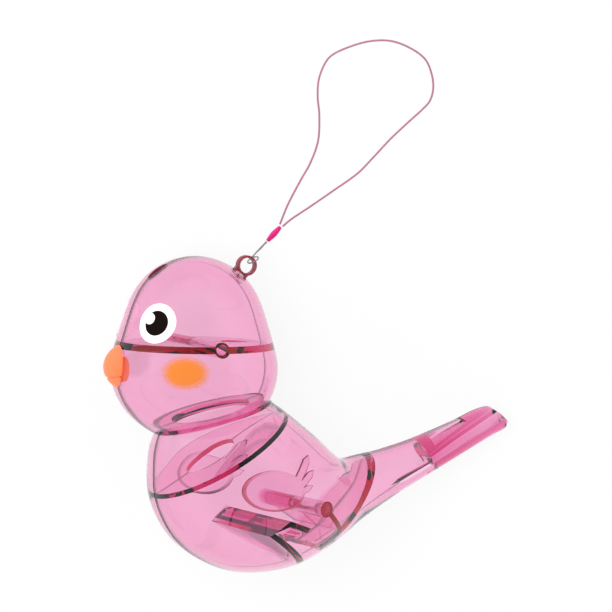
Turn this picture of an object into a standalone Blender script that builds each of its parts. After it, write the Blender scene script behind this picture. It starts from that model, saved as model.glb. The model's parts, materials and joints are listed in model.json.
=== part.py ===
"""Bird whistle: two clear half shells, beak, eyes and a wrist strap, lying on its side.

The bird is drawn in its own upright frame: the halves meet in the plane y = 0, x runs from
the beak to the tail and z runs from the belly to the crown. An empty then lays it down on its
right side, on the facet of its hull that lies under its centre of mass. The strap is drawn
where it lies on the ground.
"""

import math

import bmesh
import bpy
import numpy as np
from mathutils import Matrix, Vector

MM = 0.001

# Walls and fits
WALL = 1.3 * MM
SEAM_GAP = 0.3 * MM
TOUCH_GAP = 0.3 * MM

# Head, a turned form with a tapered dome
HEAD_RADIUS = 19.8 * MM
HEAD_HEIGHT = 48.4 * MM
HEAD_DOME = 26.4 * MM
HEAD_CHIN = 17.5 * MM
HEAD_FULLNESS = 2.2
HEAD_TAPER = 0.065
HEAD_TAPER_LIFT = 0.85
HEAD_RINGS = 11
HEAD_SIDES = 36

# Body and tail: back point (x, z), belly point (x, z) and half width of each section, in mm
BODY_SECTIONS = (
    ((15.5, 45.4), (-5.4, 39.7), 10.5),
    ((18.7, 40.9), (-8.4, 33.7), 13.8),
    ((21.3, 38.9), (-9.9, 26.6), 18.0),
    ((24.8, 36.2), (-8.9, 16.1), 21.3),
    ((28.4, 33.4), (-2.6, 6.4), 22.7),
    ((31.7, 30.5), (9.2, 0.4), 22.0),
    ((34.5, 28.1), (22.2, 0.7), 18.5),
    ((37.5, 26.5), (32.6, 5.4), 14.0),
    ((41.9, 27.3), (41.9, 11.9), 10.0),
    ((47.6, 28.5), (50.6, 17.3), 7.4),
    ((56.1, 31.1), (59.4, 22.2), 5.6),
    ((65.4, 34.7), (69.0, 27.5), 4.4),
    ((71.1, 37.3), (75.4, 31.1), 3.9),
    ((74.6, 38.3), (79.1, 32.9), 3.6),
    ((75.8, 37.8), (79.8, 34.3), 3.1),
)
BODY_STEPS = 2
BODY_SIDES = 28

# Facets of the round forms
DISC_SIDES = 28
WING_SIDES = 26
HOLE_SIDES = 24
BOSS_SIDES = 20
NECK_SIDES = 16
BEAD_SIDES = 14
PIN_SIDES = 12
MOUTH_SIDES = 8

# Walls inside the shells, all square to the mid plane
SHELF_HEIGHT = HEAD_HEIGHT + 5.25 * MM
SHELF_THICKNESS = 1.6 * MM
SHELF_HOLE_X = 10.0 * MM
SHELF_HOLE_RADIUS = 3.2 * MM
NECK_FRONT = (-9.4 * MM, 33.5 * MM)
NECK_BACK = (18.6 * MM, 41.1 * MM)
NECK_THICKNESS = 1.8 * MM
NECK_HOLE_RADIUS = 9.5 * MM
COLLAR_FRONT = (-9.4 * MM, 17.7 * MM)
COLLAR_BACK = (18.9 * MM, 36.1 * MM)
COLLAR_THICKNESS = 1.0 * MM
COLLAR_HOLE_RADIUS = 6.5 * MM
DUCT_ROUTE = ((46.8, 31.2), (44.7, 27.8), (43.0, 24.5), (40.4, 20.2), (35.7, 14.0), (31.5, 9.9), (27.2, 6.9))
DUCT_STEPS = 3
DUCT_THICKNESS = 1.7 * MM
TRAP_ROUTE = ((26.7, -1.4), (24.1, 3.5), (12.8, 10.5), (16.7, 13.1), (21.8, 11.4))
TRAP_THICKNESS = 1.3 * MM
STALK_THICKNESS = 1.2 * MM
STALK_FOOT = (32.4 * MM, 10.7 * MM)

# Pins of the right half in hollow bosses of the left half: (x, z) of each and its bore's depth
BOSSES = ((0.0, SHELF_HEIGHT, 16.8 * MM), (26.3 * MM, 16.1 * MM, 15.0 * MM))
BOSS_RADIUS = 1.85 * MM
PIN_RADIUS = 0.95 * MM
PIN_REACH = 2.2 * MM
PIN_CLEARANCE = 0.3 * MM

# Windway from the mouth to the window under the tail: points (x, z) in mm
PLUG_FACE = ((55.6, 32.7), (56.2, 30.2), (59.6, 25.5), (60.4, 21.1))
WINDWAY_OUTLINE = ((58.7, 25.1), (82.5, 37.7), (80.4, 39.3), (58.5, 26.2))
WINDWAY_HALF_WIDTH = 2.2 * MM
WINDOW_OUTLINE = ((55.1, 23.8), (59.7, 26.7), (62.3, 22.7), (57.5, 16.2), (50.5, 16.1))
WINDOW_HALF_WIDTH = 2.4 * MM
POCKET_OUTLINE = ((59.4, 30.7), (60.3, 29.0), (68.8, 34.7), (67.8, 34.9))
POCKET_HALF_WIDTH = 2.6 * MM

# Filling slot on the crown
SLOT_HEIGHT = HEAD_HEIGHT + 23.2 * MM
SLOT_LENGTH = 5.6 * MM
SLOT_WIDTH = 2.8 * MM

# Eyelet for the strap
EYELET_HEIGHT = HEAD_HEIGHT + 22.1 * MM
EYELET_STAND = 2.6 * MM
EYELET_FOOT_WIDTH = 3.6 * MM
EYELET_FOOT_THICKNESS = 1.5 * MM
EYELET_RADIUS = 2.4 * MM
EYELET_BORE = 1.85 * MM
EYELET_THICKNESS = 1.6 * MM

# Raised wing: an oval and three feather tips, (x, z) in mm
WING_RAISE = 0.8 * MM
WING_CENTRE = (11.8, 20.9)
WING_SIZE = (7.6, 4.8)
FEATHERS = (
    ((17.9, 23.5), (21.9, 28.9), 1.7),
    ((18.4, 21.9), (22.5, 25.5), 1.5),
    ((18.6, 20.5), (21.8, 22.1), 1.3),
)

# Beak insert
BEAK_HEIGHT = HEAD_HEIGHT + 0.55 * MM
BEAK_CENTRE = (2.2 * MM - HEAD_RADIUS, 0.0, BEAK_HEIGHT)
BEAK_SIZE = (5.1 * MM, 4.5 * MM, 5.35 * MM)
BEAK_FULLNESS = 2.4
BEAK_SIDES = 24
BEAK_RINGS = 14
MOUTH_HEIGHT = BEAK_HEIGHT - 2.45 * MM
MOUTH_DEPTH = 0.45 * MM
MOUTH_OPENING = 0.5 * MM
BEAK_NECK_HEIGHT = BEAK_HEIGHT - 0.65 * MM
BEAK_NECK_RADIUS = 1.9 * MM
BEAK_NECK_BITE = 1.5 * MM
BEAK_FLANGE_RADIUS = 2.9 * MM
BEAK_FLANGE_THICKNESS = 1.2 * MM

# Eyes
EYE_HEIGHT = HEAD_HEIGHT + 11.3 * MM
EYE_TURN = math.radians(38.0)
EYE_RISE = math.radians(16.0)
EYE_RADIUS = 4.85 * MM
EYE_THICKNESS = 0.5 * MM
EYE_PUNCH = 8.0 * MM

# Strap, where it lies: points (x, y, z) in mm on the ground that the bird rests on
THREAD_DIAMETER = 0.35 * MM
THREAD_ROUTE = (
    (-11.5, 37.2, 1.1), (-12.1, 36.6, 1.2), (-12.7, 35.8, 1.3), (-13.3, 35.1, 1.3), (-13.8, 34.6, 1.4),
    (-14.3, 34.5, 2.7), (-14.8, 34.7, 4.6), (-15.1, 35.1, 6.5), (-14.6, 35.9, 8.8), (-14.4, 36.2, 10.0),
    (-14.7, 36.0, 11.1), (-15.5, 35.4, 11.2), (-16.2, 34.8, 10.5), (-16.5, 34.4, 9.3), (-16.5, 34.2, 8.0),
    (-16.2, 34.1, 6.6), (-15.6, 33.9, 4.8), (-15.0, 33.7, 2.9), (-14.5, 33.6, 1.3), (-13.9, 34.0, 0.5),
    (-13.3, 34.7, 0.3), (-12.7, 35.5, 0.2), (-12.0, 36.4, 0.2), (-11.5, 37.2, 0.4),
)
BEAD_START = (-11.35, 37.45, 0.75)
BEAD_END = (-8.61, 41.18, 0.75)
BEAD_RADIUS = 0.75 * MM
BEAD_RINGS = 4
CORD_DIAMETER = 0.5 * MM
CORD_ROUTE = (
    (-8.8, 41.7, 0.5), (-7.4, 46.7, 0.3), (-5.0, 53.0, 0.3), (-3.2, 57.4, 0.3), (-2.0, 63.0, 0.3),
    (-2.4, 69.1, 0.3), (-3.3, 73.7, 0.3), (-3.5, 78.0, 0.3), (-2.5, 82.0, 0.3), (-0.9, 84.3, 0.3),
    (2.6, 86.4, 0.3), (7.3, 88.2, 0.3), (12.3, 88.7, 0.3), (17.0, 87.4, 0.3), (21.0, 84.9, 0.3),
    (23.0, 81.4, 0.3), (23.8, 77.9, 0.3), (23.4, 74.8, 0.3), (21.8, 72.4, 0.3), (18.8, 69.0, 0.3),
    (15.0, 64.5, 0.3), (11.4, 59.6, 0.3), (8.1, 55.4, 0.3), (3.0, 50.9, 0.3), (-2.0, 46.6, 0.3),
    (-6.1, 43.2, 0.3), (-8.1, 41.2, 0.5),
)
CORD_STEPS = 2

# Reach of the forms that run past the bird, and of the feathers, which end short of the wing
FAR = 60.0 * MM
FEATHER_REACH = 55.0 * MM


def clear_scene():
    """Remove every object that the scene holds."""
    for item in list(bpy.data.objects):
        bpy.data.objects.remove(item, do_unlink=True)


def new_collection(name):
    """Return a new collection in the scene."""
    collection = bpy.data.collections.new(name)
    bpy.context.scene.collection.children.link(collection)
    return collection


def new_material(name, colour, roughness, transmission=0.0):
    """Return a Principled material."""
    material = bpy.data.materials.new(name)
    material.use_nodes = True
    shader = material.node_tree.nodes["Principled BSDF"]
    shader.inputs["Base Color"].default_value = (*colour, 1.0)
    shader.inputs["Roughness"].default_value = roughness
    shader.inputs["Metallic"].default_value = 0.0
    shader.inputs["Transmission Weight"].default_value = transmission
    return material


clear_scene()
WHISTLE = new_collection("bird_whistle")
CUTTERS = new_collection("cutters")
CLEAR_PINK = new_material("clear_pink_plastic", (0.86, 0.38, 0.58), 0.08, 0.9)
ORANGE = new_material("orange_plastic", (1.0, 0.25, 0.09), 0.25)
EYE_PRINT = new_material("eye_print", (0.9, 0.9, 0.9), 0.3)
PINK_CORD = new_material("pink_cord", (0.6, 0.22, 0.32), 0.7)
GREY_THREAD = new_material("grey_thread", (0.3, 0.28, 0.29), 0.7)
PINK_BEAD = new_material("pink_bead", (0.75, 0.02, 0.2), 0.3)


def add_object(name, mesh, material=None):
    """Link a mesh as a part if it has a material, or else as a hidden cutter."""
    item = bpy.data.objects.new(name, mesh)
    if material is None:
        item.display_type = "WIRE"
        item.hide_render = True
        CUTTERS.objects.link(item)
        return item
    mesh.materials.append(material)
    WHISTLE.objects.link(item)
    return item


def bake(item):
    """Return a new mesh of the object as it is evaluated, with its place applied."""
    bpy.context.view_layer.update()
    evaluated = item.evaluated_get(bpy.context.evaluated_depsgraph_get())
    mesh = bpy.data.meshes.new_from_object(evaluated)
    mesh.transform(item.matrix_world)
    mesh.materials.clear()
    return mesh


def welded(mesh):
    """Merge the doubled points of a mesh and point its faces outwards."""
    work = bmesh.new()
    work.from_mesh(mesh)
    bmesh.ops.remove_doubles(work, verts=work.verts, dist=0.001 * MM)
    bmesh.ops.recalc_face_normals(work, faces=work.faces)
    work.to_mesh(mesh)
    work.free()
    return mesh


def combine(target, other, operation):
    """Add a Boolean modifier to the target."""
    modifier = target.modifiers.new(other.name, "BOOLEAN")
    modifier.operation = operation
    modifier.solver = "EXACT"
    modifier.object = other
    return target


def turned(name, profile, sides):
    """Return a cutter turned about z from a profile of (radius, height) that runs downwards."""
    mesh = bpy.data.meshes.new(name)
    points = [(radius, 0.0, height) for radius, height in profile]
    mesh.from_pydata(points, [(i, i + 1) for i in range(len(points) - 1)], [])
    item = add_object(name, mesh)
    screw = item.modifiers.new("turn", "SCREW")
    screw.axis = "Z"
    screw.steps = sides
    screw.render_steps = sides
    screw.use_merge_vertices = True
    screw.merge_threshold = 0.001 * MM
    solid = welded(bake(item))
    bpy.data.objects.remove(item)
    return add_object(name, solid)


def prism(name, outline, half_width, middle=0.0):
    """Return a cutter with an outline of (x, z) points and a thickness along y."""
    curve = bpy.data.curves.new(name, "CURVE")
    curve.dimensions = "2D"
    curve.fill_mode = "BOTH"
    curve.extrude = half_width
    spline = curve.splines.new("POLY")
    spline.points.add(len(outline) - 1)
    for point, (x, z) in zip(spline.points, outline):
        point.co = (x, z, 0.0, 1.0)
    spline.use_cyclic_u = True
    item = bpy.data.objects.new(name, curve)
    CUTTERS.objects.link(item)
    item.rotation_euler = (math.pi / 2, 0.0, 0.0)
    item.location = (0.0, middle, 0.0)
    solid = welded(bake(item))
    bpy.data.objects.remove(item)
    return add_object(name, solid)


def rod(name, centre, direction, radius, length, sides=BOSS_SIDES, stretch=1.0):
    """Return a cutter: a cylinder along a direction, which may be stretched in the mid plane."""
    work = bmesh.new()
    bmesh.ops.create_cone(
        work, cap_ends=True, segments=sides, radius1=radius, radius2=radius, depth=length
    )
    bmesh.ops.scale(work, vec=(stretch, 1.0, 1.0), verts=work.verts)
    axis = Vector(direction).normalized()
    side = Vector((0.0, 1.0, 0.0))
    if abs(axis.y) > 0.99:
        side = Vector((0.0, 0.0, 1.0))
    across = side.cross(axis).normalized()
    turn = Matrix((across, axis.cross(across), axis)).transposed().to_4x4()
    work.transform(Matrix.Translation(Vector(centre)) @ turn)
    mesh = bpy.data.meshes.new(name)
    work.to_mesh(mesh)
    work.free()
    return add_object(name, mesh)


def ball(name, centre, radii, fullness):
    """Return a cutter: a sphere stretched to three radii, boxier as its fullness goes past 2."""
    work = bmesh.new()
    bmesh.ops.create_uvsphere(work, u_segments=BEAK_SIDES, v_segments=BEAK_RINGS, radius=1.0)
    for vertex in work.verts:
        vertex.co /= sum(abs(value) ** fullness for value in vertex.co) ** (1.0 / fullness)
    bmesh.ops.scale(work, vec=radii, verts=work.verts)
    bmesh.ops.translate(work, vec=centre, verts=work.verts)
    mesh = bpy.data.meshes.new(name)
    work.to_mesh(mesh)
    work.free()
    return add_object(name, mesh)


def smooth_path(points, steps):
    """Return points on a Catmull-Rom curve through the given points, as an array."""
    points = np.asarray(points, dtype=float)
    padded = np.vstack((2 * points[0] - points[1], points, 2 * points[-1] - points[-2]))
    path = []
    for i in range(len(points) - 1):
        before, start, end, after = padded[i:i + 4]
        for t in np.arange(steps) / steps:
            path.append(
                0.5 * (2 * start + (end - before) * t
                       + (2 * before - 5 * start + 4 * end - after) * t ** 2
                       + (3 * start - before - 3 * end + after) * t ** 3)
            )
    path.append(points[-1])
    return np.array(path)


def stroke(path, thickness):
    """Return the outline of a wall of one thickness along a path of (x, z) points."""
    path = np.asarray(path, dtype=float)
    run = np.gradient(path, axis=0)
    run /= np.linalg.norm(run, axis=1)[:, None]
    aside = np.column_stack((-run[:, 1], run[:, 0])) * thickness / 2
    return np.vstack((path + aside, (path - aside)[::-1]))


def slab(front, back, thickness):
    """Return the outline of a straight wall through two points, run on past both."""
    front, back = np.array(front), np.array(back)
    run = (back - front) / np.linalg.norm(back - front)
    return stroke((front - run * FAR, back + run * FAR), thickness)


def head_radius_at(height, inset=0.0):
    """Return the head's radius at a height."""
    if height < HEAD_HEIGHT:
        drop = (HEAD_HEIGHT - height) / (HEAD_CHIN - inset)
        return (HEAD_RADIUS - inset) * math.sqrt(max(0.0, 1.0 - drop ** 2))
    rise = min(1.0, (height - HEAD_HEIGHT) / (HEAD_DOME - inset))
    taper = 1.0 - HEAD_TAPER * math.sin(math.pi * rise ** HEAD_TAPER_LIFT) ** 2
    return (HEAD_RADIUS - inset) * math.sqrt(1.0 - rise ** HEAD_FULLNESS) * taper


def head_seat(height):
    """Return the point (x, z) on the back of the head at a height, and the slope's normal."""
    step = 0.05 * MM
    low, high = head_radius_at(height - step), head_radius_at(height + step)
    normal = np.array((2 * step, low - high))
    return np.array((head_radius_at(height), height)), normal / np.linalg.norm(normal)


def head_form(name, inset):
    """Return the head's form, a distance inside its outer face."""
    profile = [(0.0, HEAD_HEIGHT + HEAD_DOME - inset)]
    for i in range(1, 2 * HEAD_RINGS):
        angle = math.pi / 2 * (1.0 - i / HEAD_RINGS)
        reach = (HEAD_DOME if angle > 0 else HEAD_CHIN) - inset
        height = HEAD_HEIGHT + reach * math.sin(angle)
        profile.append((head_radius_at(height, inset), height))
    profile.append((0.0, HEAD_HEIGHT - HEAD_CHIN + inset))
    return turned(name, profile, HEAD_SIDES)


def body_form(name, inset):
    """Return the body and tail as a loft through the sections, inside its outer face."""
    table = np.array([(*back, *belly, half) for back, belly, half in BODY_SECTIONS]) * MM
    table = smooth_path(table, BODY_STEPS)
    back, belly, half = table[:, 0:2], table[:, 2:4], table[:, 4]
    centre = (back + belly) / 2
    reach = (belly - back) / 2
    length = np.linalg.norm(reach, axis=1)
    reach *= ((length - inset) / length)[:, None]
    turn = np.linspace(0.0, 2 * math.pi, BODY_SIDES, endpoint=False)
    x = centre[:, 0:1] + reach[:, 0:1] * np.cos(turn)
    z = centre[:, 1:2] + reach[:, 1:2] * np.cos(turn)
    y = (half[:, None] - inset) * np.sin(turn)
    rings = len(table)
    points = np.stack((x, y, z), axis=-1).reshape(-1, 3)
    faces = []
    for i in range(rings - 1):
        for j in range(BODY_SIDES):
            k = (j + 1) % BODY_SIDES
            low, high = i * BODY_SIDES, (i + 1) * BODY_SIDES
            faces.append((low + j, low + k, high + k, high + j))
    faces.append(tuple(range(BODY_SIDES)))
    faces.append(tuple(range((rings - 1) * BODY_SIDES, rings * BODY_SIDES)))
    mesh = bpy.data.meshes.new(name)
    mesh.from_pydata(points.tolist(), [], faces)
    return add_object(name, welded(mesh))


def feather_outline(root, tip, width):
    """Return the outline of one feather, which ends in a point, (x, z) in metres."""
    root, tip = np.array(root), np.array(tip)
    run = (tip - root) / np.linalg.norm(tip - root)
    aside = np.array((run[1], -run[0])) * width / 2
    shoulder = tip - run * width
    return np.array((root + aside, shoulder + aside, tip, shoulder - aside, root - aside)) * MM


def raised_wings():
    """Return a form through the body that stands a little out of both sides as the wings."""
    x, z = WING_CENTRE
    length, height = WING_SIZE
    wings = rod("wings", (x * MM, 0.0, z * MM), (0, 1, 0), height * MM, 2 * FAR, WING_SIDES, length / height)
    for i, (root, tip, width) in enumerate(FEATHERS):
        combine(wings, prism(f"feather_{i}", feather_outline(root, tip, width), FEATHER_REACH), "UNION")
    combine(wings, body_form("wing_face", -WING_RAISE), "INTERSECT")
    return wings


def cavity():
    """Return the space inside the shells: the hollow, less the walls, with the passages."""
    space = head_form("cavity", WALL)
    combine(space, body_form("body_hollow", WALL), "UNION")
    duct = stroke(smooth_path(np.array(DUCT_ROUTE) * MM, DUCT_STEPS), DUCT_THICKNESS)
    stalk = (np.array(BOSSES[1][:2]), np.array(STALK_FOOT))
    plug = [(x * MM, z * MM) for x, z in PLUG_FACE]
    tail_block = [*plug, (2 * FAR, 0.0), (2 * FAR, FAR), (plug[0][0], FAR)]
    walls = {
        "shelf": slab((0.0, SHELF_HEIGHT), (FAR, SHELF_HEIGHT), SHELF_THICKNESS),
        "neck_plate": slab(NECK_FRONT, NECK_BACK, NECK_THICKNESS),
        "collar_plate": slab(COLLAR_FRONT, COLLAR_BACK, COLLAR_THICKNESS),
        "duct_wall": duct,
        "trap_wall": stroke(np.array(TRAP_ROUTE) * MM, TRAP_THICKNESS),
        "boss_stalk": stroke(stalk, STALK_THICKNESS),
        "tail_block": tail_block,
    }
    for name, outline in walls.items():
        combine(space, prism(name, outline, FAR), "DIFFERENCE")
    for i, (x, z, _) in enumerate(BOSSES):
        combine(space, rod(f"boss_{i}", (x, 0.0, z), (0, 1, 0), BOSS_RADIUS, 2 * FAR), "DIFFERENCE")
    for passage in passages():
        combine(space, passage, "UNION")
    return space


def passages():
    """Return the holes through the walls: inside, at the mouth, at the window and the crown."""
    collar = (np.array(COLLAR_FRONT) + np.array(COLLAR_BACK)) / 2
    neck = (np.array(NECK_FRONT) + np.array(NECK_BACK)) / 2
    collar_run = np.array(COLLAR_BACK) - np.array(COLLAR_FRONT)
    neck_run = np.array(NECK_BACK) - np.array(NECK_FRONT)
    crown, rise = head_seat(SLOT_HEIGHT)
    return [
        rod("shelf_hole", (SHELF_HOLE_X, 0.0, SHELF_HEIGHT), (0, 0, 1), SHELF_HOLE_RADIUS,
            3 * SHELF_THICKNESS),
        rod("neck_hole", (neck[0], 0.0, neck[1]), (-neck_run[1], 0, neck_run[0]), NECK_HOLE_RADIUS,
            3 * NECK_THICKNESS, DISC_SIDES),
        rod("collar_hole", (collar[0], 0.0, collar[1]), (-collar_run[1], 0, collar_run[0]),
            COLLAR_HOLE_RADIUS, 3 * COLLAR_THICKNESS, HOLE_SIDES),
        prism("windway", np.array(WINDWAY_OUTLINE) * MM, WINDWAY_HALF_WIDTH),
        prism("window", np.array(WINDOW_OUTLINE) * MM, WINDOW_HALF_WIDTH),
        prism("pocket", np.array(POCKET_OUTLINE) * MM, POCKET_HALF_WIDTH),
        rod("filling_slot", (-crown[0], 0.0, crown[1]), (-rise[0], 0, rise[1]), SLOT_WIDTH / 2,
            4 * WALL, NECK_SIDES, SLOT_LENGTH / SLOT_WIDTH),
        rod("beak_hole", (-HEAD_RADIUS, 0.0, BEAK_NECK_HEIGHT), (1, 0, 0), BEAK_NECK_RADIUS + TOUCH_GAP,
            4 * WALL, NECK_SIDES),
    ]


def outer_form():
    """Return the whole outer form: head, body, tail, eyelet and the two raised wings."""
    form = head_form("outer_form", 0.0)
    combine(form, body_form("body_outside", 0.0), "UNION")
    seat, normal = head_seat(EYELET_HEIGHT)
    x, z = seat + normal * EYELET_STAND
    foot = stroke((seat - normal * WALL / 2, seat + normal * EYELET_STAND), EYELET_FOOT_WIDTH)
    combine(form, prism("eyelet_foot", foot, EYELET_FOOT_THICKNESS / 2), "UNION")
    combine(form, rod("eyelet", (x, 0.0, z), (0, 1, 0), EYELET_RADIUS, EYELET_THICKNESS, DISC_SIDES), "UNION")
    combine(form, rod("eyelet_bore", (x, 0.0, z), (0, 1, 0), EYELET_BORE, FAR, HOLE_SIDES), "DIFFERENCE")
    combine(form, raised_wings(), "UNION")
    return form


def half_space(name, side):
    """Return a box that holds one side of the seam, less half of the gap there."""
    work = bmesh.new()
    bmesh.ops.create_cube(work, size=4 * FAR)
    bmesh.ops.translate(work, vec=(0.0, side * (2 * FAR + SEAM_GAP / 2), 0.0), verts=work.verts)
    mesh = bpy.data.meshes.new(name)
    work.to_mesh(mesh)
    work.free()
    return add_object(name, mesh)


def build_shells():
    """Make the two half shells, with hollow bosses in the left one and pins on the right one."""
    form = outer_form()
    space = cavity()
    combine(form, space, "DIFFERENCE")
    whole = bake(form)
    left = add_object("left_shell", whole.copy(), CLEAR_PINK)
    right = add_object("right_shell", whole.copy(), CLEAR_PINK)
    combine(left, half_space("left_side", -1), "INTERSECT")
    combine(right, half_space("right_side", 1), "INTERSECT")
    for i, (x, z, depth) in enumerate(BOSSES):
        pin = rod(f"pin_{i}", (x, 0.0, z), (0, 1, 0), PIN_RADIUS, 2 * PIN_REACH, PIN_SIDES)
        socket = rod(
            f"socket_{i}", (x, 0.0, z), (0, 1, 0), PIN_RADIUS + PIN_CLEARANCE, 2 * depth, PIN_SIDES,
        )
        combine(left, socket, "DIFFERENCE")
        combine(right, pin, "UNION")
    return left, right


def build_beak():
    """Make the beak: a blunt form with a mouth line, a neck through the shells and a flange inside."""
    front = ball("beak_front", BEAK_CENTRE, BEAK_SIZE, BEAK_FULLNESS)
    mouth = rod(
        "mouth_line", (BEAK_CENTRE[0], 0.0, MOUTH_HEIGHT), (0, 0, 1), 2 * BEAK_SIZE[0],
        MOUTH_OPENING, MOUTH_SIDES,
    )
    mouth_floor = ball("mouth_floor", BEAK_CENTRE, [size - MOUTH_DEPTH for size in BEAK_SIZE], BEAK_FULLNESS)
    combine(mouth, mouth_floor, "DIFFERENCE")
    combine(front, mouth, "DIFFERENCE")
    combine(front, head_form("beak_seat", -TOUCH_GAP), "DIFFERENCE")
    inner_face = HEAD_RADIUS - WALL - TOUCH_GAP
    flange = rod(
        "beak_flange", (-inner_face, 0.0, BEAK_NECK_HEIGHT), (1, 0, 0), BEAK_FLANGE_RADIUS,
        2 * BEAK_FLANGE_THICKNESS,
    )
    combine(flange, head_form("flange_seat", WALL + TOUCH_GAP), "INTERSECT")
    neck_end = inner_face - BEAK_FLANGE_THICKNESS / 2
    neck_start = HEAD_RADIUS + BEAK_NECK_BITE
    neck = rod(
        "beak_neck", (-(neck_start + neck_end) / 2, 0.0, BEAK_NECK_HEIGHT), (1, 0, 0), BEAK_NECK_RADIUS,
        neck_start - neck_end, NECK_SIDES,
    )
    beak = add_object("beak", bake(front), ORANGE)
    combine(beak, neck, "UNION")
    combine(beak, flange, "UNION")
    return beak


def build_eye(name, side):
    """Make one eye: a thin disc that follows the head."""
    radius = head_radius_at(EYE_HEIGHT)
    rise = math.sin(EYE_RISE)
    level = math.cos(EYE_RISE)
    aim = Vector((-math.cos(EYE_TURN) * level, side * math.sin(EYE_TURN) * level, rise))
    place = Vector((-math.cos(EYE_TURN) * radius, side * math.sin(EYE_TURN) * radius, EYE_HEIGHT))
    disc = rod(name + "_punch", place, aim, EYE_RADIUS, EYE_PUNCH, DISC_SIDES)
    combine(disc, head_form(name + "_face", -TOUCH_GAP - EYE_THICKNESS), "INTERSECT")
    combine(disc, head_form(name + "_back", -TOUCH_GAP), "DIFFERENCE")
    return add_object(name, bake(disc), EYE_PRINT)


def build_cord(name, route, diameter, material):
    """Make a round cord along a smooth curve through the points."""
    curve = bpy.data.curves.new(name, "CURVE")
    curve.dimensions = "3D"
    curve.bevel_depth = diameter / 2
    curve.bevel_resolution = 2
    curve.use_fill_caps = True
    path = smooth_path(np.array(route) * MM, CORD_STEPS)
    spline = curve.splines.new("POLY")
    spline.points.add(len(path) - 1)
    for point, place in zip(spline.points, path):
        point.co = (*place, 1.0)
    curve.materials.append(material)
    item = bpy.data.objects.new(name, curve)
    WHISTLE.objects.link(item)
    return item


def build_bead():
    """Make the bead that holds the ends of the thread and of the hand loop."""
    start, end = Vector(BEAD_START) * MM, Vector(BEAD_END) * MM
    straight = (end - start).length / 2 - BEAD_RADIUS
    turn = np.linspace(math.pi / 2, 0.0, BEAD_RINGS + 1)[1:]
    top = [(BEAD_RADIUS * math.cos(a), straight + BEAD_RADIUS * math.sin(a)) for a in turn]
    profile = [(0.0, straight + BEAD_RADIUS), *top]
    profile += [(radius, -height) for radius, height in reversed(profile)]
    form = turned("strap_bead_form", profile, BEAD_SIDES)
    bead = add_object("strap_bead", bake(form), PINK_BEAD)
    bead.location = (start + end) / 2
    bead.rotation_mode = "QUATERNION"
    bead.rotation_quaternion = (end - start).to_track_quat("Z", "Y")
    return bead


def resting_turn(parts):
    """Return the matrix that lays the parts on their right side, centred over their base.

    The facet to lie on is the one of their hull that faces right, lies under the centre of
    mass and is nearest to it.
    """
    hull = bmesh.new()
    mass = 0.0
    moment = Vector((0.0, 0.0, 0.0))
    for item in parts:
        mesh = bake(item)
        mesh.calc_loop_triangles()
        places = [vertex.co for vertex in mesh.vertices]
        for triangle in mesh.loop_triangles:
            a, b, c = (places[i] for i in triangle.vertices)
            volume = a.dot(b.cross(c)) / 6.0
            mass += volume
            moment += volume * (a + b + c) / 4.0
        for place in places:
            hull.verts.new(place)
        bpy.data.meshes.remove(mesh)
    centre = moment / mass
    bmesh.ops.convex_hull(hull, input=hull.verts)
    hull.normal_update()
    best = None
    for face in hull.faces:
        down = face.normal
        corners = [vertex.co for vertex in face.verts]
        depth = down.dot(corners[0] - centre)
        foot = centre + down * depth
        sides = zip(corners, corners[1:] + corners[:1])
        inside = all(down.dot((end - start).cross(foot - start)) >= 0.0 for start, end in sides)
        if inside and down.y > 0.5 and (best is None or depth < best[0]):
            best = (depth, down.copy())
    down = best[1]
    along = (Vector((1.0, 0.0, 0.0)) - down * down.x).normalized()
    turn = Matrix((along, along.cross(down), -down)).to_4x4()
    points = np.array([turn @ vertex.co for vertex in hull.verts])
    hull.free()
    low, high = points.min(axis=0), points.max(axis=0)
    middle = (low + high) / 2
    shift = Vector((-middle[0], -middle[1], -low[2]))
    return Matrix.Translation(shift) @ turn


def main():
    """Make the whistle and lay it down."""
    parts = [*build_shells(), build_beak(), build_eye("left_eye", -1), build_eye("right_eye", 1)]
    rest = bpy.data.objects.new("resting_bird", None)
    turn = resting_turn(parts)
    WHISTLE.objects.link(rest)
    for item in [*WHISTLE.objects, *CUTTERS.objects]:
        if item is not rest:
            item.parent = rest
    rest.matrix_world = turn
    build_cord("strap_thread", THREAD_ROUTE, THREAD_DIAMETER, GREY_THREAD)
    build_cord("strap_loop", CORD_ROUTE, CORD_DIAMETER, PINK_CORD)
    build_bead()


main()
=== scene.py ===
"""Dresses the bird whistle: clear pink shells, painted cheeks, beak, printed eyes and strap.

The bird lies on its right side. Its pieces are worked out in its own upright frame, in which
x runs from the beak to the tail, z from the belly to the crown and the halves meet at y = 0.
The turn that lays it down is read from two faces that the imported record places.
"""

import json
import math

import bpy
import numpy as np
from bpy.props import FloatProperty, FloatVectorProperty, IntProperty, PointerProperty
from mathutils import Matrix, Vector


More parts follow.
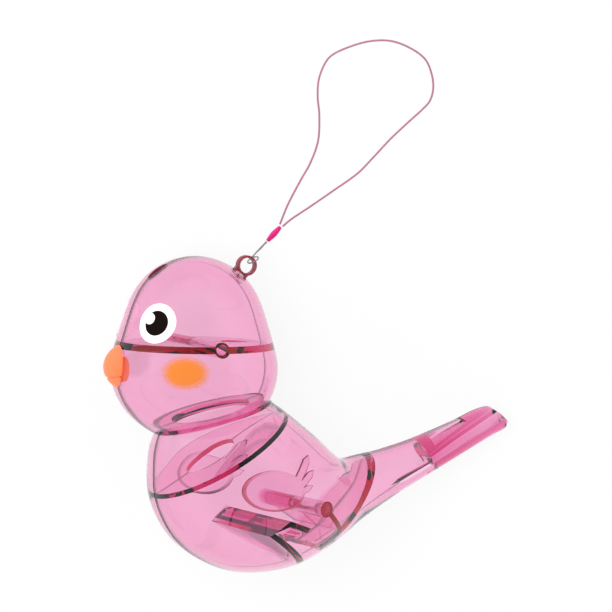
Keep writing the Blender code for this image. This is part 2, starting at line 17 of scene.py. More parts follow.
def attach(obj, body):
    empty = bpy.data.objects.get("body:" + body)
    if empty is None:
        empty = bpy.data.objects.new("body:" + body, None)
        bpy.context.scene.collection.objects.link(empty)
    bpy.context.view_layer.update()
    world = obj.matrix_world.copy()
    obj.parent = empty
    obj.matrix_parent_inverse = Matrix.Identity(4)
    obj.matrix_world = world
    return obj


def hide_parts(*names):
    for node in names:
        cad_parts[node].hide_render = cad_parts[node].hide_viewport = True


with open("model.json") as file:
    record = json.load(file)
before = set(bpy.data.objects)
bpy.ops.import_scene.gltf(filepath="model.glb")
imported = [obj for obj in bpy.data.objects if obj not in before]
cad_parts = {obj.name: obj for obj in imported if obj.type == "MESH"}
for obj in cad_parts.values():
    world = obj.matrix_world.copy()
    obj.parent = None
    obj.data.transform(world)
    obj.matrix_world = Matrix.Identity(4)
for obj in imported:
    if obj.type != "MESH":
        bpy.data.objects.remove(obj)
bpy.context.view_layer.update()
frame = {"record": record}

bl_info = {
    "name": "Bird whistle",
    "version": (1, 0, 0),
    "blender": (4, 5, 0),
    "location": "3D View > Sidebar > Bird whistle",
    "description": "Makes the visible pieces of a clear plastic bird whistle",
    "category": "Add Mesh",
}

MM = 0.001

# Walls and gaps of the mouldings
WALL = 1.3 * MM
SEAM_GAP = 0.3 * MM
TOUCH_GAP = 0.3 * MM

# Head, a turned form with a tapered dome
HEAD_RADIUS = 19.8 * MM
HEAD_HEIGHT = 48.4 * MM
HEAD_DOME = 26.4 * MM
HEAD_CHIN = 17.5 * MM
HEAD_FULLNESS = 2.2
HEAD_TAPER = 0.065
HEAD_TAPER_LIFT = 0.85

# Body and tail: back point (x, z), belly point (x, z) and half width of each section, in mm
BODY_SECTIONS = (
    ((15.5, 45.4), (-5.4, 39.7), 10.5),
    ((18.7, 40.9), (-8.4, 33.7), 13.8),
    ((21.3, 38.9), (-9.9, 26.6), 18.0),
    ((24.8, 36.2), (-8.9, 16.1), 21.3),
    ((28.4, 33.4), (-2.6, 6.4), 22.7),
    ((31.7, 30.5), (9.2, 0.4), 22.0),
    ((34.5, 28.1), (22.2, 0.7), 18.5),
    ((37.5, 26.5), (32.6, 5.4), 14.0),
    ((41.9, 27.3), (41.9, 11.9), 10.0),
    ((47.6, 28.5), (50.6, 17.3), 7.4),
    ((56.1, 31.1), (59.4, 22.2), 5.6),
    ((65.4, 34.7), (69.0, 27.5), 4.4),
    ((71.1, 37.3), (75.4, 31.1), 3.9),
    ((74.6, 38.3), (79.1, 32.9), 3.6),
    ((75.8, 37.8), (79.8, 34.3), 3.1),
)

# Walls inside the shells, square to the mid plane: (x, z) in mm
SHELF = ((-30.0, 53.65), (30.0, 53.65), 1.6)
NECK_PLATE = ((-9.4, 33.5), (18.6, 41.1), 1.8)
COLLAR_PLATE = ((-9.4, 17.7), (18.9, 36.1), 1.0)
DUCT_ROUTE = ((46.8, 31.2), (44.7, 27.8), (43.0, 24.5), (40.4, 20.2), (35.7, 14.0), (31.5, 9.9), (27.2, 6.9))
DUCT_THICKNESS = 1.7
TRAP_ROUTE = ((26.7, -1.4), (24.1, 3.5), (12.8, 10.5), (16.7, 13.1), (21.8, 11.4))
TRAP_THICKNESS = 1.3
STALK = ((26.3, 16.1), (32.4, 10.7), 1.2)
BOSSES = ((0.0, 53.65, 16.8), (26.3, 16.1, 15.0))
BOSS_RADIUS = 1.85 * MM
PIN_RADIUS = 0.95 * MM
PIN_REACH = 2.2 * MM
PIN_CLEARANCE = 0.3 * MM
SHELF_HOLE = ((10.0, 53.65), 3.2)
NECK_HOLE_RADIUS = 9.5
COLLAR_HOLE_RADIUS = 6.5

# Windway, window and plug, (x, z) in mm
PLUG_OUTLINE = (
    (55.6, 32.7), (56.2, 30.2), (59.6, 25.5), (60.4, 21.1), (120.0, 0.0), (120.0, 60.0), (55.6, 60.0),
)
WINDWAY_OUTLINE = ((58.7, 25.1), (82.5, 37.7), (80.4, 39.3), (58.5, 26.2))
WINDOW_OUTLINE = ((55.1, 23.8), (59.7, 26.7), (62.3, 22.7), (57.5, 16.2), (50.5, 16.1))
POCKET_OUTLINE = ((59.4, 30.7), (60.3, 29.0), (68.8, 34.7), (67.8, 34.9))
WINDWAY_HALF = 2.2 * MM
WINDOW_HALF = 2.4 * MM
POCKET_HALF = 2.6 * MM

# Slot on the crown and eyelet behind it
SLOT_HEIGHT = 71.6 * MM
SLOT_SIZE = (5.6 * MM, 2.8 * MM)
EYELET_HEIGHT = 70.5 * MM
EYELET_STAND = 2.6 * MM
EYELET_RADIUS = 2.4 * MM
EYELET_BORE = 1.85 * MM
EYELET_THICKNESS = 1.6 * MM
EYELET_FOOT = (3.6 * MM, 1.5 * MM)

# Raised wings, (x, z) in mm
WING_CENTRE = (11.8, 20.9)
WING_SIZE = (7.6, 4.8)
FEATHERS = (
    ((17.9, 23.5), (21.9, 28.9), 1.7),
    ((18.4, 21.9), (22.5, 25.5), 1.5),
    ((18.6, 20.5), (21.8, 22.1), 1.3),
)

# Beak
BEAK_CENTRE = (-17.6 * MM, 0.0, 48.95 * MM)
BEAK_SIZE = (5.1 * MM, 4.5 * MM, 5.35 * MM)
BEAK_FULLNESS = 1.9
MOUTH_HEIGHT = 46.5 * MM
MOUTH_RISE = 0.9 * MM
MOUTH_WIDTH = 0.22 * MM
BEAK_NECK_HEIGHT = 48.3 * MM
BEAK_NECK_RADIUS = 1.9 * MM
BEAK_NECK_REACH = 1.5 * MM
BEAK_FLANGE_RADIUS = 2.9 * MM
BEAK_FLANGE_THICKNESS = 1.2 * MM

# Eyes and cheeks: where they sit on the head
EYE_HEIGHT = 59.7 * MM
EYE_TURN = math.radians(38.0)
EYE_RISE = math.radians(16.0)
EYE_THICKNESS = 0.5 * MM
EYE_EDGE = 0.22 * MM
EYE_RINGS = 30
CHEEK_HEIGHT = 48.5 * MM
CHEEK_TURN = math.radians(62.6)

# Strap, in mm on the ground: the same points as the solids follow
THREAD_ROUTE = (
    (-11.5, 37.2, 1.1), (-12.1, 36.6, 1.2), (-12.7, 35.8, 1.3), (-13.3, 35.1, 1.3), (-13.8, 34.6, 1.4),
    (-14.3, 34.5, 2.7), (-14.8, 34.7, 4.6), (-15.1, 35.1, 6.5), (-14.6, 35.9, 8.8), (-14.4, 36.2, 10.0),
    (-14.7, 36.0, 11.1), (-15.5, 35.4, 11.2), (-16.2, 34.8, 10.5), (-16.5, 34.4, 9.3), (-16.5, 34.2, 8.0),
    (-16.2, 34.1, 6.6), (-15.6, 33.9, 4.8), (-15.0, 33.7, 2.9), (-14.5, 33.6, 1.3), (-13.9, 34.0, 0.5),
    (-13.3, 34.7, 0.3), (-12.7, 35.5, 0.2), (-12.0, 36.4, 0.2), (-11.5, 37.2, 0.4),
)
CORD_ROUTE = (
    (-8.8, 41.7, 0.5), (-7.4, 46.7, 0.3), (-5.0, 53.0, 0.3), (-3.2, 57.4, 0.3), (-2.0, 63.0, 0.3),
    (-2.4, 69.1, 0.3), (-3.3, 73.7, 0.3), (-3.5, 78.0, 0.3), (-2.5, 82.0, 0.3), (-0.9, 84.3, 0.3),
    (2.6, 86.4, 0.3), (7.3, 88.2, 0.3), (12.3, 88.7, 0.3), (17.0, 87.4, 0.3), (21.0, 84.9, 0.3),
    (23.0, 81.4, 0.3), (23.8, 77.9, 0.3), (23.4, 74.8, 0.3), (21.8, 72.4, 0.3), (18.8, 69.0, 0.3),
    (15.0, 64.5, 0.3), (11.4, 59.6, 0.3), (8.1, 55.4, 0.3), (3.0, 50.9, 0.3), (-2.0, 46.6, 0.3),
    (-6.1, 43.2, 0.3), (-8.1, 41.2, 0.5),
)
BEAD_ENDS = ((-11.35, 37.45, 0.75), (-8.61, 41.18, 0.75))
BEAD_RADIUS = 0.75 * MM
BEAD_FULLNESS = 0.6
CORD_STEP = 0.2 * MM
PLY_RELIEF = 0.14

# Clear plastic: its surface, its dye's colour and how fast that deepens, per metre
CLEAR_TINT = (1.0, 0.97, 0.985, 1.0)
DYE_COLOUR = (0.89, 0.075, 0.52, 1.0)
DYE_DENSITY = 310.0
# Painted shade: how much of the dark edge colour is mixed over the rims of the wings, the eyelet and the slot
RIM_PAINTED_SHADE = 0.45

# Zones of the faces that are painted: the cheeks with orange paint, and the wings and their rims with painted
# shade; and the lean that tells a wing's oval from its rim
CHEEK_ZONE = 8 * MM
WING_ZONE = (10 * MM, 8 * MM)
WING_ZONE_SHIFT = (2.0, 2.0)
WING_ZONE_SIDE = 17 * MM
SIDEWAYS = 0.6

# Cheek paint: where it thins out, as a share of the ellipse squared, and how far it covers
CHEEK_EDGE = (0.35, 1.45)
CHEEK_COVER = 0.97
CHEEK_FROM_BEHIND = 0.2

# Wing outline, painted shade: a dark line on the edge of the wings' ovals; its edge as a share of the oval,
# the way it grows stronger, and how strong it gets
WING_LINE_EDGE = (0.88, 0.93)
WING_LINE_WAY = (-0.7, -0.8, 0.0)
WING_LINE_RANGE = (-0.7, 0.5)
WING_LINE_PAINTED_SHADE = (0.05, 0.8)

# Eye print: the glint's place and radius and the ink's soft edge, as shares of the eye's radius
GLINT = (-0.41, 0.215, 0.28)
INK_EDGE = 0.012
# Painted light: the eyes' ink glows faintly on the front and more on the back, whose print places are shifted
# to tell it apart
EYE_PAINTED_LIGHT = 0.3
EYE_BACK_PAINTED_LIGHT = 0.9
EYE_BACK_SHIFT = 4.0
# Painted light: how brightly the beak's faces inside the head glow
BEAK_INSIDE_PAINTED_LIGHT = 0.7

# Camera: the photograph's viewing angle, from far enough off to flatten the view as it does
VIEW_TURN = math.radians(22.0)
VIEW_RISE = math.radians(4.0)
VIEW_ROLL = math.radians(0.85)
VIEW_DISTANCE = 4.0
VIEW_TARGET = (28.2 * MM, 0.0, 62.65 * MM)
VIEW_WIDTH = 144.34 * MM
SENSOR = 36.0

# Studio
FLOOR_REACH = 3.0
FLOOR_GLOW = 0.9
SKY_HEIGHTS = (0.35, 0.85)
SKY_LIGHTS = (1.0, 0.35)
LAMP_PLACE = (-0.35, 0.25, 0.8)
LAMP_SIZE = 0.5
LAMP_POWER = 5.0


class WhistleSizes(bpy.types.PropertyGroup):
    """Sizes that can be changed without touching the mouldings."""

    wing_raise: FloatProperty(
        name="Wing relief", description="How far the wings stand out of the body",
        default=0.8 * MM, min=0.1 * MM, max=2 * MM, subtype="DISTANCE", unit="LENGTH",
    )
    eye_radius: FloatProperty(
        name="Eye radius", description="Radius of the white disc of each eye",
        default=4.85 * MM, subtype="DISTANCE", unit="LENGTH",
    )
    pupil_share: FloatProperty(
        name="Pupil", description="Pupil's radius as a share of the eye's", default=0.63, min=0.1, max=1.0,
    )
    mouth_depth: FloatProperty(
        name="Mouth line depth", description="Depth of the line between the halves of the beak",
        default=0.45 * MM, subtype="DISTANCE", unit="LENGTH",
    )
    cheek_length: FloatProperty(
        name="Cheek length", description="Half length of the painted cheek",
        default=5.4 * MM, subtype="DISTANCE", unit="LENGTH",
    )
    cheek_height: FloatProperty(
        name="Cheek height", description="Half height of the painted cheek",
        default=3.7 * MM, subtype="DISTANCE", unit="LENGTH",
    )
    thread_diameter: FloatProperty(
        name="Thread diameter", description="Diameter of the thread through the eyelet",
        default=0.35 * MM, subtype="DISTANCE", unit="LENGTH",
    )
    cord_diameter: FloatProperty(
        name="Cord diameter", description="Diameter of the wrist loop's cord",
        default=0.5 * MM, subtype="DISTANCE", unit="LENGTH",
    )
    ply_pitch: FloatProperty(
        name="Ply pitch", description="Length of one turn of the cord's twisted plies",
        default=1.6 * MM, subtype="DISTANCE", unit="LENGTH",
    )
    head_sides: IntProperty(
        name="Head sides", description="Faces round the head", default=120, min=24, max=240,
    )
    body_sides: IntProperty(
        name="Body sides", description="Faces round the body", default=96, min=24, max=240,
    )


def linear(code):
    """Return an sRGB hex code as linear red, green and blue."""
    values = [int(code[i:i + 2], 16) / 255 for i in (1, 3, 5)]
    return [v / 12.92 if v <= 0.04045 else ((v + 0.055) / 1.055) ** 2.4 for v in values]


def colour_property(name, description, code):
    """Return a colour property whose default is an sRGB hex code."""
    return FloatVectorProperty(
        name=name, description=description, subtype="COLOR", size=3, min=0.0, max=1.0, default=linear(code),
    )


class WhistleColours(bpy.types.PropertyGroup):
    """Colours of the finishes."""

    beak: colour_property("Beak", "Opaque orange plastic", "#FF8552")
    cheek: colour_property("Cheek", "Airbrushed orange paint", "#E8832F")
    eye_white: colour_property("Eye white", "White print", "#FFFFFF")
    pupil: colour_property("Pupil", "Black print", "#17100E")
    bead: colour_property("Bead", "Hot pink plastic", "#E0187C")
    # Painted shade: the dark colour mixed onto the rims and the wings' outlines, where the clear plastic
    # looks darker in light
    edge: colour_property("Rims", "Matt rims of the wings, the eyelet and the slot", "#B04A5C")
    cord: colour_property("Cord", "Dusty pink cord", "#B9788E")
    thread: colour_property("Thread", "Grey thread", "#8A8488")
    floor: colour_property("Floor", "White studio table", "#FFFFFF")


def sizes():
    """Return the scene's size settings."""
    return bpy.context.scene.whistle_sizes


def colours():
    """Return the scene's colour settings."""
    return bpy.context.scene.whistle_colours


def smooth_path(points, steps):
    """Return points on a Catmull-Rom curve, a cubic through each point along its neighbours' chord."""
    points = np.asarray(points, dtype=float)
    padded = np.vstack((2 * points[0] - points[1], points, 2 * points[-1] - points[-2]))
    t = (np.arange(steps) / steps)[None, :, None]
    before, start, end, after = (padded[i:i + len(points) - 1, None] for i in range(4))
    path = 0.5 * (
        2 * start + (end - before) * t
        + (2 * before - 5 * start + 4 * end - after) * t ** 2
        + (3 * start - before - 3 * end + after) * t ** 3
    )
    return np.vstack((path.reshape(-1, points.shape[1]), points[-1:]))


def resample(path, count):
    """Return a path's points spaced evenly along its length."""
    run = np.concatenate(([0.0], np.cumsum(np.linalg.norm(np.diff(path, axis=0), axis=1))))
    places = np.linspace(0.0, run[-1], count)
    return np.column_stack([np.interp(places, run, path[:, k]) for k in range(path.shape[1])])


def turns(count):
    """Return angles spaced evenly round a circle."""
    return np.linspace(0.0, 2 * math.pi, count, endpoint=False)


def mesh_from_rings(name, rings, first=None, last=None):
    """Return a closed mesh from rings of points: quads between rings, and a cap at each end.

    A cap is a fan to a given point, or else one flat face.
    """
    rows, sides = rings.shape[:2]
    points = rings.reshape(-1, 3)
    index = np.arange(rows * sides).reshape(rows, sides)
    after = np.roll(index, -1, axis=1)
    faces = np.stack((index[:-1], after[:-1], after[1:], index[1:]), axis=-1).reshape(-1, 4).tolist()
    for cap, pole in ((index[0][::-1], first), (index[-1], last)):
        if pole is None:
            faces.append(cap.tolist())
            continue
        points = np.vstack((points, pole))
        tip = np.full(sides, len(points) - 1)
        faces += np.column_stack((cap, np.roll(cap, -1), tip)).tolist()
    mesh = bpy.data.meshes.new(name)
    mesh.from_pydata(points, [], faces)
    if signed_volume(mesh) < 0:
        mesh.flip_normals()
    return mesh


def face_places(mesh):
    """Return the middle and the direction of each face, as arrays."""
    middles = np.empty(len(mesh.polygons) * 3)
    mesh.polygons.foreach_get("center", middles)
    ways = np.empty(len(mesh.polygons) * 3)
    mesh.polygons.foreach_get("normal", ways)
    return middles.reshape(-1, 3), ways.reshape(-1, 3)


def signed_volume(mesh):
    """Return a closed mesh's volume, which is negative where its faces point inwards."""
    mesh.calc_loop_triangles()
    places = np.empty(len(mesh.vertices) * 3)
    mesh.vertices.foreach_get("co", places)
    corners = np.empty(len(mesh.loop_triangles) * 3, dtype=np.int32)
    mesh.loop_triangles.foreach_get("vertices", corners)
    a, b, c = places.reshape(-1, 3)[corners].reshape(-1, 3, 3).transpose(1, 0, 2)
    return float(np.einsum("ij,ij->i", a, np.cross(b, c)).sum() / 6)


def add_object(name, mesh):
    """Link a mesh to the scene as an object."""
    item = bpy.data.objects.new(name, mesh)
    bpy.context.scene.collection.objects.link(item)
    return item


def bake(item):
    """Return a new mesh of the object with its modifiers applied, and remove what made it."""
    bpy.context.view_layer.update()
    mesh = bpy.data.meshes.new_from_object(item.evaluated_get(bpy.context.evaluated_depsgraph_get()))
    for modifier in item.modifiers:
        bpy.data.objects.remove(modifier.object)
    bpy.data.objects.remove(item)
    return mesh


def cut(mesh, *steps):
    """Return the mesh after Boolean steps, each an operation and a closed mesh."""
    item = add_object("work", mesh)
    for operation, other in steps:
        modifier = item.modifiers.new(operation, "BOOLEAN")
        modifier.operation = operation
        modifier.solver = "MANIFOLD"
        modifier.object = add_object("tool", other)
    return bake(item)


def prism(outline, half_width, middle=0.0):
    """Return an outline of (x, z) points carried across the mid plane, as a closed mesh."""
    outline = np.asarray(outline, dtype=float)
    ring = np.insert(outline, 1, 0.0, axis=1)
    across = np.array((0.0, half_width, 0.0))
    centre = np.array((0.0, middle, 0.0))
    return mesh_from_rings("prism", np.stack((ring - across + centre, ring + across + centre)))


def stroke(path, thickness):
    """Return the outline of a wall of one thickness along a path of (x, z) points."""
    path = np.asarray(path, dtype=float)
    run = np.gradient(path, axis=0)
    run /= np.linalg.norm(run, axis=1)[:, None]
    aside = np.column_stack((-run[:, 1], run[:, 0])) * thickness / 2
    return np.vstack((path + aside, (path - aside)[::-1]))


def slab(front, back, thickness, overrun=60.0):
    """Return the outline of a straight wall through two points, run on past both."""
    front, back = np.array(front), np.array(back)
    run = (back - front) / np.linalg.norm(back - front)
    return stroke((front - run * overrun, back + run * overrun), thickness)


def rod(centre, direction, radii, length, sides=64):
    """Return a cylinder along a direction, an ellipse of two radii carried along a line.

    The first radius lies in the mid plane and the second across it, or upwards for a rod
    that runs across it.
    """
    axis = np.asarray(direction, dtype=float)
    axis /= np.linalg.norm(axis)
    side = np.array((0.0, 0.0, 1.0)) if abs(axis[1]) > 0.99 else np.array((0.0, 1.0, 0.0))
    across = np.cross(side, axis)
    turn = turns(sides)[:, None]
    ring = np.asarray(centre) + radii[0] * np.cos(turn) * across + radii[1] * np.sin(turn) * side
    return mesh_from_rings("rod", np.stack((ring - axis * length / 2, ring + axis * length / 2)))


def head_radius_at(height, inset=0.0):
    """Return the head's radius at heights, as an array.

    Below the equator it is a quarter ellipse. Above it is a fuller quarter curve, drawn in
    by a squared sine of the rise.
    """
    height = np.asarray(height, dtype=float)
    drop = np.clip((HEAD_HEIGHT - height) / (HEAD_CHIN - inset), 0.0, 1.0)
    rise = np.clip((height - HEAD_HEIGHT) / (HEAD_DOME - inset), 0.0, 1.0)
    taper = 1.0 - HEAD_TAPER * np.sin(math.pi * rise ** HEAD_TAPER_LIFT) ** 2
    return (HEAD_RADIUS - inset) * np.sqrt(1.0 - drop ** 2) * np.sqrt(1.0 - rise ** HEAD_FULLNESS) * taper


def head_seat(height):
    """Return the point (x, z) on the back of the head at a height, and the slope's normal."""
    step = 0.05 * MM
    low, high = head_radius_at(height - step), head_radius_at(height + step)
    normal = np.array((2 * step, low - high))
    return np.array((head_radius_at(height), height)), normal / np.linalg.norm(normal)


def head_form(inset, rings=44):
    """Return the head as a surface of revolution: its radius at heights that bunch at the poles."""
    angle = math.pi / 2 * (1.0 - np.arange(1, 2 * rings) / rings)
    reach = np.where(angle > 0, HEAD_DOME, HEAD_CHIN) - inset
    height = HEAD_HEIGHT + reach * np.sin(angle)
    radius = head_radius_at(height, inset)
    turn = turns(sizes().head_sides)
    points = np.stack((
        radius[:, None] * np.cos(turn), radius[:, None] * np.sin(turn),
        np.repeat(height[:, None], len(turn), 1),
    ), axis=-1)
    top = (0.0, 0.0, HEAD_HEIGHT + HEAD_DOME - inset)
    bottom = (0.0, 0.0, HEAD_HEIGHT - HEAD_CHIN + inset)
    return mesh_from_rings("head_form", points, top, bottom)


def body_form(inset, steps=8):
    """Return the body and tail: ellipses carried along smooth curves of back, belly and width."""
    table = np.array([(*back, *belly, half) for back, belly, half in BODY_SECTIONS]) * MM
    table = smooth_path(table, steps)
    back, belly, half = table[:, 0:2], table[:, 2:4], table[:, 4:5]
    centre = (back + belly) / 2
    reach = (belly - back) / 2
    length = np.linalg.norm(reach, axis=1)[:, None]
    reach = reach * (length - inset) / length
    turn = turns(sizes().body_sides)
    x = centre[:, 0:1] + reach[:, 0:1] * np.cos(turn)
    z = centre[:, 1:2] + reach[:, 1:2] * np.cos(turn)
    y = (half - inset) * np.sin(turn)
    return mesh_from_rings("body_form", np.stack((x, y, z), axis=-1))


def feather_outline(root, tip, width):
    """Return the outline of one feather, which ends in a point, (x, z) in metres."""
    root, tip = np.array(root), np.array(tip)
    run = (tip - root) / np.linalg.norm(tip - root)
    aside = np.array((run[1], -run[0])) * width / 2
    shoulder = tip - run * width
    return np.array((root + aside, shoulder + aside, tip, shoulder - aside, root - aside)) * MM


def raised_wings():
    """Return a form through the body that stands a little out of both sides as the wings."""
    x, z = np.array(WING_CENTRE) * MM
    length, height = np.array(WING_SIZE) * MM
    steps = [
        ("UNION", prism(feather_outline(*feather), 55 * MM)) for feather in FEATHERS
    ]
    return cut(
        rod((x, 0.0, z), (0, 1, 0), (length, height), 120 * MM),
        *steps, ("INTERSECT", body_form(-sizes().wing_raise)),
    )


def outer_form():
    """Return the whole outer form: head, body, tail, wings and eyelet."""
    seat, normal = head_seat(EYELET_HEIGHT)
    x, z = seat + normal * EYELET_STAND
    foot = stroke((seat - normal * WALL / 2, seat + normal * EYELET_STAND), EYELET_FOOT[0])
    return cut(
        head_form(0.0),
        ("UNION", body_form(0.0)),
        ("UNION", prism(foot, EYELET_FOOT[1] / 2)),
        ("UNION", rod((x, 0.0, z), (0, 1, 0), (EYELET_RADIUS,) * 2, EYELET_THICKNESS)),
        ("DIFFERENCE", rod((x, 0.0, z), (0, 1, 0), (EYELET_BORE,) * 2, 20 * MM)),
        ("UNION", raised_wings()),
    )


def cavity():
    """Return the space inside: the hollow less its walls, with the holes and the windway."""
    wide = 60 * MM
    walls = [
        slab(*SHELF), slab(*NECK_PLATE), slab(*COLLAR_PLATE),
        stroke(smooth_path(DUCT_ROUTE, 8), DUCT_THICKNESS),
        stroke(TRAP_ROUTE, TRAP_THICKNESS), stroke(STALK[:2], STALK[2]), np.array(PLUG_OUTLINE),
    ]
    steps = [("UNION", body_form(WALL))]
    steps += [("DIFFERENCE", prism(wall * MM, wide)) for wall in walls]
    steps += [
        ("DIFFERENCE", rod((x * MM, 0.0, z * MM), (0, 1, 0), (BOSS_RADIUS,) * 2, wide)) for x, z, _ in BOSSES
    ]
    holed = ((NECK_PLATE, NECK_HOLE_RADIUS), (COLLAR_PLATE, COLLAR_HOLE_RADIUS))
    for (front, back, thickness), radius in holed:
        middle = (np.array(front) + np.array(back)) / 2 * MM
        run = np.array(back) - np.array(front)
        hole = rod(
            (middle[0], 0.0, middle[1]), (-run[1], 0.0, run[0]), (radius * MM,) * 2, 3 * thickness * MM,
        )
        steps.append(("UNION", hole))
    (x, z), radius = SHELF_HOLE
    crown, rise = head_seat(SLOT_HEIGHT)
    steps += [
        ("UNION", rod((x * MM, 0.0, z * MM), (0, 0, 1), (radius * MM,) * 2, 3 * SHELF[2] * MM)),
        ("UNION", prism(np.array(WINDWAY_OUTLINE) * MM, WINDWAY_HALF)),
        ("UNION", prism(np.array(WINDOW_OUTLINE) * MM, WINDOW_HALF)),
        ("UNION", prism(np.array(POCKET_OUTLINE) * MM, POCKET_HALF)),
        ("UNION", rod((-crown[0], 0.0, crown[1]), (-rise[0], 0.0, rise[1]),
                      (SLOT_SIZE[0] / 2, SLOT_SIZE[1] / 2), 4 * WALL)),
        ("UNION", rod((-HEAD_RADIUS, 0.0, BEAK_NECK_HEIGHT), (1, 0, 0), (BEAK_NECK_RADIUS + TOUCH_GAP,) * 2,
                      4 * WALL, 40)),
    ]
    return cut(head_form(WALL), *steps)


def half_space(side):
    """Return a box that holds one side of the seam, less half of the gap there."""
    reach = 120 * MM
    middle = side * (reach + SEAM_GAP / 2)
    square = ((-reach, -reach), (reach, -reach), (reach, reach), (-reach, reach))
    return prism(square, reach, middle)


def lay_down():
    """Return the matrix from the bird's upright frame to where it lies.

    The record gives two faces: the eyelet's right side, and the mouth end, which is square
    to it. Their directions fix the turn, and the eyelet's point the place.
    """
    mounts = {mount["name"]: mount for mount in frame["record"]["mounts"]}
    eyelet, mouth = mounts["eyelet_side"], mounts["mouthpiece_end"]
    back, belly = (np.array(point) for point in BODY_SECTIONS[-1][:2])
    slope = (belly - back) / np.linalg.norm(belly - back)
    side, along = Vector((0.0, 1.0, 0.0)), Vector((-slope[1], 0.0, slope[0]))
    upright = Matrix((side, along, side.cross(along))).transposed()
    side, along = Vector(eyelet["axis"]).normalized(), Vector(mouth["axis"]).normalized()
    lying = Matrix((side, along, side.cross(along))).transposed()
    turn = (lying @ upright.transposed()).to_4x4()
    seat, normal = head_seat(EYELET_HEIGHT)
    x, z = seat + normal * (EYELET_STAND + (EYELET_RADIUS + EYELET_BORE) / 2)
    point = turn @ Vector((x, EYELET_THICKNESS / 2, z))
    return Matrix.Translation(Vector(eyelet["pos_m"]) - point) @ turn


def finish_mesh(item, crease=35.0):
    """Shade an object smooth, with edges sharper than the angle left sharp."""
    item.data.polygons.foreach_set("use_smooth", np.ones(len(item.data.polygons), dtype=bool))
    item.data.set_sharp_from_angle(angle=math.radians(crease))


def add_node(tree, kind, settings=None, **links):
    """Add a node, set its properties and socket values, and link sockets to its inputs.

    A setting whose name is an attribute of the node is set there, and any other on the
    input of that name or number.
    """
    node = tree.nodes.new(kind)
    for name, value in (settings or {}).items():
        if isinstance(name, str) and hasattr(node, name):
            setattr(node, name, value)
        else:
            node.inputs[name].default_value = value
    for name, socket in links.items():
        key = int(name[1:]) if name[0] == "i" and name[1:].isdigit() else name.replace("_", " ")
        tree.links.new(socket, node.inputs[key])
    return node


def new_material(name):
    """Return an empty node material, its tree and its output node."""
    material = bpy.data.materials.new(name)
    material.use_nodes = True
    tree = material.node_tree
    tree.nodes.clear()
    output = tree.nodes.new("ShaderNodeOutputMaterial")
    return material, tree, output


def maths(tree, operation, *values):
    """Return the output of a maths node whose inputs are sockets or numbers."""
    node = add_node(tree, "ShaderNodeMath", {"operation": operation})
    for socket, value in zip(node.inputs, values):
        if isinstance(value, bpy.types.NodeSocket):
            tree.links.new(value, socket)
        else:
            socket.default_value = value
    return node.outputs[0]


def vector_maths(tree, operation, first, second=(0.0, 0.0, 0.0)):
    """Return the output of a vector maths node: its vector for a difference, or else its number."""
    node = add_node(tree, "ShaderNodeVectorMath", {"operation": operation, 1: second}, i0=first)
    return node.outputs["Vector" if operation == "SUBTRACT" else "Value"]


def grade(tree, value, low, high, start=0.0, end=1.0, kind="LINEAR"):
    """Return the output of a node that carries a value from its own range to another."""
    return add_node(tree, "ShaderNodeMapRange", {
        "interpolation_type": kind, "From Min": low, "From Max": high, "To Min": start, "To Max": end,
    }, Value=value).outputs[0]


def face_mark(tree, name):
    """Return the output that reads a mark stored on each face."""
    return add_node(tree, "ShaderNodeAttribute", {"attribute_name": name}).outputs["Fac"]


def clear_polystyrene(place):
    """Injection-moulded clear polystyrene, dyed pink: glossy, and deeper in colour the longer the
    way through it, so that walls seen edge on turn crimson. The rims of the wings, the eyelet and
    the slot and the edge of the wings' ovals carry painted shade: a dark diffuse colour mixed over
    the clear surface there, which lets less light through. An orange cheek is sprayed on each side."""
    material, tree, output = new_material("clear_pink_polystyrene_with_painted_rim_shade")
    point = add_node(tree, "ShaderNodeTexCoord").outputs["Object"]
    # Faces marked rim take painted shade: the dark edge colour tints their clear surface and is mixed over it
    rim = face_mark(tree, "rim")
    tint = add_node(tree, "ShaderNodeMix", {
        "data_type": "RGBA", 6: CLEAR_TINT, 7: (*colours().edge, 1.0),
    }, Factor=rim)
    clear = add_node(tree, "ShaderNodeBsdfPrincipled", {
        "Transmission Weight": 1.0, "IOR": 1.5, "Roughness": 0.0,
    }, Base_Color=tint.outputs[2])
    dye = add_node(tree, "ShaderNodeVolumeAbsorption", {"Color": DYE_COLOUR, "Density": DYE_DENSITY})
    shade_diffuse = add_node(tree, "ShaderNodeBsdfDiffuse", {"Color": (*colours().edge, 1.0)})
    painted_shade = maths(tree, "MAXIMUM", maths(tree, "MULTIPLY", rim, RIM_PAINTED_SHADE), wing_line_shade(tree, place, point))
    body = add_node(tree, "ShaderNodeMixShader", None, i0=painted_shade, i1=clear.outputs[0], i2=shade_diffuse.outputs[0])
    paint = add_node(tree, "ShaderNodeBsdfPrincipled", {
        "Base Color": (*colours().cheek, 1.0), "Roughness": 0.5, "Specular IOR Level": 0.1,
    })
    cover = cheek_cover(tree, place, point)
    mix = add_node(tree, "ShaderNodeMixShader", None, i0=cover, i1=body.outputs[0], i2=paint.outputs[0])
    tree.links.new(mix.outputs[0], output.inputs["Surface"])
    tree.links.new(dye.outputs[0], output.inputs["Volume"])
    return material


